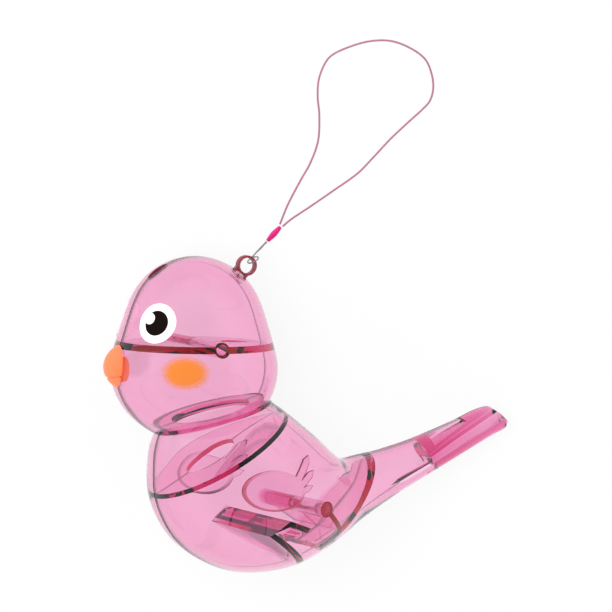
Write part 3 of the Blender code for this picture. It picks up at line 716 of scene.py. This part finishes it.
def cheek_cover(tree, place, point):
    """Return how far paint covers a point: an ellipse on each side whose edge fades out, so that
    the head shows through it there, and which is faint when seen from behind."""
    turn = place.to_3x3()
    covers = []
    for side in (-1, 1):
        out = Vector((-math.cos(CHEEK_TURN), side * math.sin(CHEEK_TURN), 0.0))
        aside = Vector((math.sin(CHEEK_TURN), side * math.cos(CHEEK_TURN), 0.0))
        up = Vector((0.0, 0.0, 1.0))
        away = vector_maths(tree, "SUBTRACT", point, place @ (out * HEAD_RADIUS + up * CHEEK_HEIGHT))
        total = 0.0
        for way, reach in ((aside, sizes().cheek_length), (up, sizes().cheek_height), (out, HEAD_RADIUS)):
            part = vector_maths(tree, "DOT_PRODUCT", away, turn @ way / reach)
            total = maths(tree, "ADD", maths(tree, "MULTIPLY", part, part), total)
        covers.append(grade(tree, total, *CHEEK_EDGE, CHEEK_COVER, 0.0, "SMOOTHSTEP"))
    facing = add_node(tree, "ShaderNodeNewGeometry").outputs["Backfacing"]
    outside = maths(tree, "MULTIPLY", maths(tree, "MAXIMUM", *covers), face_mark(tree, "outside"))
    return maths(tree, "MULTIPLY", outside, grade(tree, facing, 0.0, 1.0, 1.0, CHEEK_FROM_BEHIND))


def wing_line_shade(tree, place, point):
    """Return how much painted shade a point takes on the rounded edge of the wings' ovals, most below and in
    front.
    """
    turn = place.to_3x3()
    centre = place @ Vector((WING_CENTRE[0] * MM, 0.0, WING_CENTRE[1] * MM))
    away = vector_maths(tree, "SUBTRACT", point, centre)
    along = vector_maths(tree, "DOT_PRODUCT", away, turn @ Vector((1.0, 0.0, 0.0)) / (WING_SIZE[0] * MM))
    above = vector_maths(tree, "DOT_PRODUCT", away, turn @ Vector((0.0, 0.0, 1.0)) / (WING_SIZE[1] * MM))
    flat = add_node(tree, "ShaderNodeCombineXYZ", None, X=along, Y=above).outputs[0]
    band = grade(tree, vector_maths(tree, "LENGTH", flat), *WING_LINE_EDGE)
    forward = vector_maths(tree, "DOT_PRODUCT", flat, WING_LINE_WAY)
    weight = grade(tree, forward, *WING_LINE_RANGE, *WING_LINE_PAINTED_SHADE)
    return maths(tree, "MULTIPLY", maths(tree, "MULTIPLY", band, weight), face_mark(tree, "wing"))


def opaque_plastic(name, colour, roughness, glow=0.0):
    """Opaque injection-moulded plastic with a satin gloss and a faint moulded texture. The glow is
    painted light, an emission that stands for light coming through the clear shells to what lies inside them."""
    material, tree, output = new_material(name)
    point = add_node(tree, "ShaderNodeTexCoord").outputs["Object"]
    grain = add_node(tree, "ShaderNodeTexNoise", {"Scale": 1800.0, "Detail": 2.0}, Vector=point)
    bump = add_node(
        tree, "ShaderNodeBump", {"Strength": 0.05, "Distance": 0.05 * MM}, Height=grain.outputs[0],
    )
    shader = add_node(tree, "ShaderNodeBsdfPrincipled", {
        "Base Color": (*colour, 1.0), "Roughness": roughness, "IOR": 1.5,
        "Emission Color": (*colour, 1.0), "Emission Strength": glow,
    }, Normal=bump.outputs[0])
    tree.links.new(shader.outputs[0], output.inputs["Surface"])
    return material


def twisted_cord(name, colour):
    """Matt polyester cord."""
    material, tree, output = new_material(name)
    shader = add_node(tree, "ShaderNodeBsdfPrincipled", {
        "Base Color": (*colour, 1.0), "Roughness": 0.7, "Sheen Weight": 0.3,
    })
    tree.links.new(shader.outputs[0], output.inputs["Surface"])
    return material


def cord_mesh(name, route, diameter, plies):
    """Return a tube along a smooth curve, whose section is a round of plies that twists on its way."""
    path = smooth_path(np.array(route) * MM, 24)
    length = float(np.linalg.norm(np.diff(path, axis=0), axis=1).sum())
    path = resample(path, max(60, int(length / CORD_STEP)))
    run = np.gradient(path, axis=0)
    run /= np.linalg.norm(run, axis=1)[:, None]
    side = np.cross(run, (0.13, 0.21, 0.97))
    for i in range(1, len(side)):
        side[i] = side[i - 1] - run[i] * np.dot(side[i - 1], run[i])
        side[i] /= np.linalg.norm(side[i])
    side[0] /= np.linalg.norm(side[0])
    up = np.cross(run, side)
    turn = turns(12)
    along = np.linspace(0.0, length, len(path))[:, None]
    twist = plies / 2 * (turn[None] - 2 * math.pi * along / sizes().ply_pitch)
    radius = diameter / 2 * (1.0 - PLY_RELIEF + PLY_RELIEF * np.abs(np.cos(twist)))
    rings = (
        path[:, None] + side[:, None] * (radius * np.cos(turn))[..., None]
        + up[:, None] * (radius * np.sin(turn))[..., None]
    )
    return mesh_from_rings(name, rings), path


class WHISTLE_OT_camera(bpy.types.Operator):
    """Place the camera where the photograph was taken from."""

    bl_idname = "whistle.camera"
    bl_label = "Camera"

    def execute(self, context):
        place = lay_down()
        turn = place.to_3x3()
        level = Vector((-math.sin(VIEW_TURN), -math.cos(VIEW_TURN), 0.0))
        crown = Vector((0.0, 0.0, 1.0))
        back = turn @ (level * math.cos(VIEW_RISE) + crown * math.sin(VIEW_RISE))
        up = turn @ (crown * math.cos(VIEW_RISE) - level * math.sin(VIEW_RISE))
        data = bpy.data.cameras.new("photo_camera")
        data.sensor_width = SENSOR
        data.lens = SENSOR * VIEW_DISTANCE / VIEW_WIDTH
        camera = bpy.data.objects.new("photo_camera", data)
        axes = Matrix((up.cross(back), up, back)).transposed().to_4x4() @ Matrix.Rotation(VIEW_ROLL, 4, "Z")
        camera.matrix_world = Matrix.Translation(place @ Vector(VIEW_TARGET) + back * VIEW_DISTANCE) @ axes
        context.scene.collection.objects.link(camera)
        context.scene.camera = camera
        return {"FINISHED"}


class WHISTLE_OT_strap(bpy.types.Operator):
    """Make the thread through the eyelet, the bead and the cord of the wrist loop."""

    bl_idname = "whistle.strap"
    bl_label = "Strap"

    def execute(self, context):
        bead = add_object("hot_pink_bead", self.bead_mesh())
        bead.data.materials.append(opaque_plastic("gloss_hot_pink_plastic", colours().bead, 0.2))
        finish_mesh(bead)
        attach(bead, "root")
        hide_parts("strap_bead")
        mesh, path = cord_mesh("eyelet_thread", THREAD_ROUTE, sizes().thread_diameter, 2)
        thread = add_object("eyelet_thread", mesh)
        thread.data.materials.append(twisted_cord("grey_nylon_thread", colours().thread))
        finish_mesh(thread)
        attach(thread, "root")
        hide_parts("strap_thread")
        mesh, path = cord_mesh("wrist_loop_cord", CORD_ROUTE, sizes().cord_diameter, 3)
        loop = add_object("wrist_loop_cord", mesh)
        loop.data.materials.append(twisted_cord("pink_polyester_cord", colours().cord))
        finish_mesh(loop)
        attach(loop, "root")
        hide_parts("strap_loop")
        return {"FINISHED"}

    def bead_mesh(self):
        """Return the bead: a round section carried along its axis, with domed ends."""
        start, end = (np.array(point) * MM for point in BEAD_ENDS)
        half = np.linalg.norm(end - start) / 2
        axis = (end - start) / (2 * half)
        up = np.array((0.0, 0.0, 1.0))
        side = np.cross(up, axis)
        angle = np.linspace(-math.pi / 2, math.pi / 2, 26)[1:-1]
        along = (half - BEAD_RADIUS) * np.clip(np.tan(angle) / 2, -1, 1) + BEAD_RADIUS * np.sin(angle)
        radius = BEAD_RADIUS * np.cos(angle) ** BEAD_FULLNESS
        turn = turns(32)
        middle = (start + end) / 2
        rings = (
            middle + along[:, None, None] * axis
            + (radius[:, None] * np.cos(turn))[..., None] * side
            + (radius[:, None] * np.sin(turn))[..., None] * up
        )
        return mesh_from_rings("hot_pink_bead", rings, start, end)


class WHISTLE_OT_shells(bpy.types.Operator):
    """Make the two clear half shells with all their inner walls."""

    bl_idname = "whistle.shells"
    bl_label = "Clear shells"

    def execute(self, context):
        whole = cut(outer_form(), ("DIFFERENCE", cavity()))
        place = lay_down()
        plastic = clear_polystyrene(place)
        cutters = {-1: [], 1: []}
        for x, z, depth in BOSSES:
            centre = (x * MM, 0.0, z * MM)
            cutters[1].append(("UNION", rod(centre, (0, 1, 0), (PIN_RADIUS,) * 2, 2 * PIN_REACH, 32)))
            socket = rod(centre, (0, 1, 0), (PIN_RADIUS + PIN_CLEARANCE,) * 2, 2 * depth * MM, 32)
            cutters[-1].append(("DIFFERENCE", socket))
        halves = (("clear_left_shell", "left_shell", -1), ("clear_right_shell", "right_shell", 1))
        for piece, node, side in halves:
            mesh = cut(whole.copy(), ("INTERSECT", half_space(side)), *cutters[side])
            for name, marked in self.face_marks(mesh).items():
                marks = mesh.attributes.new(name, "FLOAT", "FACE")
                marks.data.foreach_set("value", marked.astype(np.float32))
            mesh.transform(place)
            mesh.name = piece
            shell = add_object(piece, mesh)
            mesh.materials.clear()
            mesh.materials.append(plastic)
            finish_mesh(shell)
            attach(shell, "root")
            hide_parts(node)
        return {"FINISHED"}

    def face_marks(self, mesh):
        """Return marks for each face, 0 or 1: outside on the cheeks' part of the head's outer
        face, rim on the rims of the wings, the eyelet and the slot, and wing on the wings' ovals;
        rim and wing mark where painted shade goes."""
        middle, way = face_places(mesh)
        x, y, z = middle.T
        radius = np.hypot(x, y)
        outside = (radius > head_radius_at(z) - 0.3 * WALL) & (x < 0.0)
        outside &= np.abs(z - CHEEK_HEIGHT) < CHEEK_ZONE
        seat, normal = head_seat(EYELET_HEIGHT)
        centre = seat + normal * EYELET_STAND
        eyelet = (np.hypot(x - centre[0], z - centre[1]) < EYELET_RADIUS) & (np.abs(y) < EYELET_THICKNESS)
        wing_x, wing_z = (np.array(WING_CENTRE) + WING_ZONE_SHIFT) * MM
        rim = (np.abs(x - wing_x) < WING_ZONE[0]) & (np.abs(z - wing_z) < WING_ZONE[1])
        rim &= np.abs(y) > WING_ZONE_SIDE
        oval = np.hypot((x / MM - WING_CENTRE[0]) / WING_SIZE[0], (z / MM - WING_CENTRE[1]) / WING_SIZE[1])
        wing = rim & (np.abs(way[:, 1]) > SIDEWAYS) & (oval < 1.0) & (way[:, 1] * y > 0.0)
        rim &= np.abs(way[:, 1]) < SIDEWAYS
        crown, rise = head_seat(SLOT_HEIGHT)
        reach = 0.6 * SLOT_SIZE[0]
        slot = (np.hypot(x + crown[0], z - crown[1]) < reach) & (np.abs(y) < reach)
        slot &= np.abs(way[:, 2] * rise[1] - way[:, 0] * rise[0]) < 0.5
        return {"outside": outside, "rim": eyelet | rim | slot, "wing": wing}


class WHISTLE_OT_beak(bpy.types.Operator):
    """Make the beak with its mouth line, neck and flange."""

    bl_idname = "whistle.beak"
    bl_label = "Beak"

    def execute(self, context):
        inner_face = HEAD_RADIUS - WALL - TOUCH_GAP
        flange = cut(
            rod((-inner_face, 0.0, BEAK_NECK_HEIGHT), (1, 0, 0), (BEAK_FLANGE_RADIUS,) * 2,
                2 * BEAK_FLANGE_THICKNESS),
            ("INTERSECT", head_form(WALL + TOUCH_GAP)),
        )
        start, end = HEAD_RADIUS + BEAK_NECK_REACH, inner_face - BEAK_FLANGE_THICKNESS / 2
        neck = rod(
            (-(start + end) / 2, 0.0, BEAK_NECK_HEIGHT), (1, 0, 0), (BEAK_NECK_RADIUS,) * 2, start - end, 40,
        )
        mesh = cut(
            self.front_mesh(), ("DIFFERENCE", head_form(-TOUCH_GAP)), ("UNION", neck), ("UNION", flange),
        )
        middle, _ = face_places(mesh)
        # Faces inside the head take the second material, whose glow is painted light
        inside = np.hypot(middle[:, 0], middle[:, 1]) < HEAD_RADIUS - WALL / 2
        mesh.transform(lay_down())
        beak = add_object("orange_beak", mesh)
        mesh.materials.clear()
        mesh.materials.append(opaque_plastic("opaque_orange_plastic", colours().beak, 0.3))
        mesh.materials.append(opaque_plastic(
            "orange_plastic_painted_light_inside_head", colours().beak, 0.3, BEAK_INSIDE_PAINTED_LIGHT,
        ))
        mesh.polygons.foreach_set("material_index", inside.astype(np.int32))
        finish_mesh(beak)
        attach(beak, "root")
        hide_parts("beak")
        return {"FINISHED"}

    def front_mesh(self):
        """Return the beak's front: an ellipsoid made boxier, with a groove round it at the mouth.

        Each direction on a sphere is scaled so that the sum of its parts to the power of the
        fullness is one. The groove is a bell curve of the height, taken off the radii.
        """
        rise = np.linspace(math.pi / 2, -math.pi / 2, 90)[1:-1, None]
        turn = turns(96)[None]
        way = np.stack((
            np.cos(rise) * np.cos(turn), np.cos(rise) * np.sin(turn), np.sin(rise) * np.ones_like(turn),
        ), axis=-1)
        way /= (np.abs(way) ** BEAK_FULLNESS).sum(axis=-1, keepdims=True) ** (1 / BEAK_FULLNESS)
        size = np.array(BEAK_SIZE)
        height = BEAK_CENTRE[2] + way[..., 2:] * size[2]
        mouth = MOUTH_HEIGHT + MOUTH_RISE * (way[..., 0:1] + 0.6)
        groove = sizes().mouth_depth * np.exp(-((height - mouth) / MOUTH_WIDTH) ** 2)
        points = np.array(BEAK_CENTRE) + way * (size - groove)
        top, bottom = (np.array(BEAK_CENTRE) + np.array((0.0, 0.0, s * size[2])) for s in (1, -1))
        return mesh_from_rings("beak_front", points, top, bottom)


class WHISTLE_OT_eyes(bpy.types.Operator):
    """Make the two printed eyes."""

    bl_idname = "whistle.eyes"
    bl_label = "Eyes"

    def execute(self, context):
        place = lay_down()
        for name, node, side in (("printed_left_eye", "left_eye", -1), ("printed_right_eye", "right_eye", 1)):
            mesh, print_places = self.eye_mesh(side)
            mesh.transform(place)
            eye = add_object(name, mesh)
            layer = mesh.uv_layers.new(name="print")
            corners = np.empty(len(mesh.loops), dtype=np.int32)
            mesh.loops.foreach_get("vertex_index", corners)
            layer.data.foreach_set("uv", print_places[corners].astype(np.float32).ravel())
            mesh.materials.append(self.eye_print())
            finish_mesh(eye)
            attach(eye, "root")
            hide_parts(node)
        return {"FINISHED"}

    def eye_mesh(self, side):
        """Return an eye and where each of its points lies on the print.

        The disc is a section carried round the eye's axis: back, rounded rim and front. Each
        point is then moved along the axis until it lies its own distance off the head.
        """
        level, rise = math.cos(EYE_RISE), math.sin(EYE_RISE)
        aim = np.array((-math.cos(EYE_TURN) * level, side * math.sin(EYE_TURN) * level, rise))
        radius = float(head_radius_at(EYE_HEIGHT))
        centre = np.array((-math.cos(EYE_TURN) * radius, side * math.sin(EYE_TURN) * radius, EYE_HEIGHT))
        right = np.array((math.sin(EYE_TURN), side * math.cos(EYE_TURN), 0.0))
        up = np.cross(aim, right) * -side
        bend = np.linspace(-math.pi / 2, math.pi / 2, 10)
        out = sizes().eye_radius - EYE_EDGE
        flat = np.linspace(0.02, 1.0, EYE_RINGS) * out
        ring_radius = np.concatenate((flat, out + EYE_EDGE * np.cos(bend), flat[::-1]))
        lift = np.concatenate((
            np.zeros(EYE_RINGS), EYE_THICKNESS / 2 * (1 + np.sin(bend)), np.full(EYE_RINGS, EYE_THICKNESS),
        )) + TOUCH_GAP
        turn = turns(72)
        u = ring_radius[:, None] * np.cos(turn)
        v = ring_radius[:, None] * np.sin(turn)
        start = centre + u[..., None] * right + v[..., None] * up
        rings = self.laid_on_head(start, aim, lift[:, None])
        ends = [
            self.laid_on_head(centre[None, None], aim, np.array([[end]]))[0, 0] for end in (lift[0], lift[-1])
        ]
        mesh = mesh_from_rings("eye", rings, *ends)
        places = np.stack((u, v), axis=-1) / sizes().eye_radius
        # The back's print places are shifted so that the back takes the stronger painted light
        places[:len(flat), :, 0] += EYE_BACK_SHIFT
        return mesh, np.vstack((places.reshape(-1, 2), ((EYE_BACK_SHIFT, 0.0), (0.0, 0.0))))

    def laid_on_head(self, points, aim, lift):
        """Return points moved along a direction until each is its lift off the head, by halving."""
        low = np.full(points.shape[:-1], -9 * MM)
        high = np.full(points.shape[:-1], 3 * MM)
        for _ in range(26):
            middle = (low + high) / 2
            tried = points + middle[..., None] * aim
            inside = np.hypot(tried[..., 0], tried[..., 1]) < head_radius_at(tried[..., 2], -lift)
            low = np.where(inside, middle, low)
            high = np.where(inside, high, middle)
        return points + ((low + high) / 2)[..., None] * aim

    def eye_print(self):
        """Pad-printed ink on white plastic: white, a black pupil and a white glint over its edge. The ink
        also glows in its own colour as painted light, faintly on the front and more on the back.
        """
        material, tree, output = new_material("pad_printed_eye_and_painted_light")
        place = add_node(tree, "ShaderNodeUVMap", {"uv_map": "print"}).outputs[0]
        masks = []
        for x, y, radius in ((0.0, 0.0, sizes().pupil_share), GLINT):
            away = vector_maths(tree, "DISTANCE", place, (x, y, 0.0))
            masks.append(grade(tree, away, radius - INK_EDGE, radius + INK_EDGE, 1.0, 0.0))
        black = maths(tree, "MULTIPLY", masks[0], maths(tree, "SUBTRACT", 1.0, masks[1]))
        ink = add_node(tree, "ShaderNodeMix", {
            "data_type": "RGBA", 6: (*colours().eye_white, 1.0), 7: (*colours().pupil, 1.0),
        }, Factor=black)
        # Painted light: the ink glows in its own colour, more on the back
        across = add_node(tree, "ShaderNodeSeparateXYZ", None, Vector=place).outputs["X"]
        halfway = EYE_BACK_SHIFT / 2
        glow = grade(tree, across, halfway - 0.5, halfway + 0.5, EYE_PAINTED_LIGHT, EYE_BACK_PAINTED_LIGHT)
        shader = add_node(
            tree, "ShaderNodeBsdfPrincipled", {"Roughness": 0.3, "Specular IOR Level": 0.0},
            Base_Color=ink.outputs[2], Emission_Color=ink.outputs[2], Emission_Strength=glow,
        )
        tree.links.new(shader.outputs[0], output.inputs["Surface"])
        return material


class WHISTLE_OT_stage(bpy.types.Operator):
    """Make the white table, the soft light and the white surroundings."""

    bl_idname = "whistle.stage"
    bl_label = "Stage"

    def execute(self, context):
        scene = context.scene
        scene.view_settings.view_transform = "Standard"
        floor = add_object("white_table", bpy.data.meshes.new("white_table"))
        corners = [(x * FLOOR_REACH, y * FLOOR_REACH, 0.0) for x, y in ((-1, -1), (1, -1), (1, 1), (-1, 1))]
        floor.data.from_pydata(corners, [], [(0, 1, 2, 3)])
        floor.data.materials.append(self.table_paper())
        world = bpy.data.worlds.new("white_studio")
        world.use_nodes = True
        tree = world.node_tree
        sky = add_node(tree, "ShaderNodeTexCoord").outputs["Generated"]
        height = add_node(tree, "ShaderNodeSeparateXYZ", None, Vector=sky).outputs["Z"]
        shade = grade(tree, height, *SKY_HEIGHTS, *SKY_LIGHTS, "SMOOTHSTEP")
        tree.links.new(shade, tree.nodes["Background"].inputs["Strength"])
        tree.nodes["Background"].inputs["Color"].default_value = (1.0, 1.0, 1.0, 1.0)
        scene.world = world
        light = bpy.data.lights.new("soft_box", "AREA")
        light.shape = "DISK"
        light.size = LAMP_SIZE
        light.energy = LAMP_POWER
        lamp = bpy.data.objects.new("soft_box", light)
        lamp.location = LAMP_PLACE
        lamp.rotation_euler = Vector(LAMP_PLACE).to_track_quat("Z", "Y").to_euler()
        lamp.visible_glossy = False
        lamp.visible_transmission = False
        scene.collection.objects.link(lamp)
        return {"FINISHED"}

    def table_paper(self):
        """White paper that is seen as pure white, with a weak shadow where it is looked at directly."""
        material, tree, output = new_material("white_studio_paper")
        rays = add_node(tree, "ShaderNodeLightPath").outputs
        bright = maths(tree, "MAXIMUM", rays["Is Glossy Ray"], rays["Is Transmission Ray"])
        share = maths(tree, "MAXIMUM", bright, maths(tree, "MULTIPLY", rays["Is Camera Ray"], FLOOR_GLOW))
        paper = add_node(tree, "ShaderNodeBsdfDiffuse", {"Color": (*colours().floor, 1.0)})
        glow = add_node(tree, "ShaderNodeEmission", {"Color": (1.0, 1.0, 1.0, 1.0), "Strength": 1.0})
        mix = add_node(tree, "ShaderNodeMixShader", None, i0=share, i1=paper.outputs[0], i2=glow.outputs[0])
        tree.links.new(mix.outputs[0], output.inputs["Surface"])
        return material


class WHISTLE_PT_panel(bpy.types.Panel):
    """Lists the whistle's pieces and sizes."""

    bl_idname = "WHISTLE_PT_panel"
    bl_label = "Bird whistle"
    bl_space_type = "VIEW_3D"
    bl_region_type = "UI"
    bl_category = "Bird whistle"

    def draw(self, context):
        for operator in OPERATORS:
            self.layout.operator(operator.bl_idname)
        for settings in (sizes(), colours()):
            box = self.layout.box()
            for name in settings.__annotations__:
                box.prop(settings, name)


OPERATORS = (
    WHISTLE_OT_camera, WHISTLE_OT_strap, WHISTLE_OT_shells,
    WHISTLE_OT_beak, WHISTLE_OT_eyes, WHISTLE_OT_stage,
)
CLASSES = (WhistleSizes, WhistleColours, *OPERATORS, WHISTLE_PT_panel)


def register():
    """Register the classes and add the settings to the scene."""
    for item in CLASSES:
        bpy.utils.register_class(item)
    bpy.types.Scene.whistle_sizes = PointerProperty(type=WhistleSizes)
    bpy.types.Scene.whistle_colours = PointerProperty(type=WhistleColours)


def unregister():
    """Remove the settings and the classes."""
    del bpy.types.Scene.whistle_colours
    del bpy.types.Scene.whistle_sizes
    for item in reversed(CLASSES):
        bpy.utils.unregister_class(item)


def main():
    """Make every piece."""
    register()
    bpy.ops.whistle.camera()
    bpy.ops.whistle.strap()
    bpy.ops.whistle.shells()
    bpy.ops.whistle.beak()
    bpy.ops.whistle.eyes()
    bpy.ops.whistle.stage()


if __name__ == "__main__":
    main()
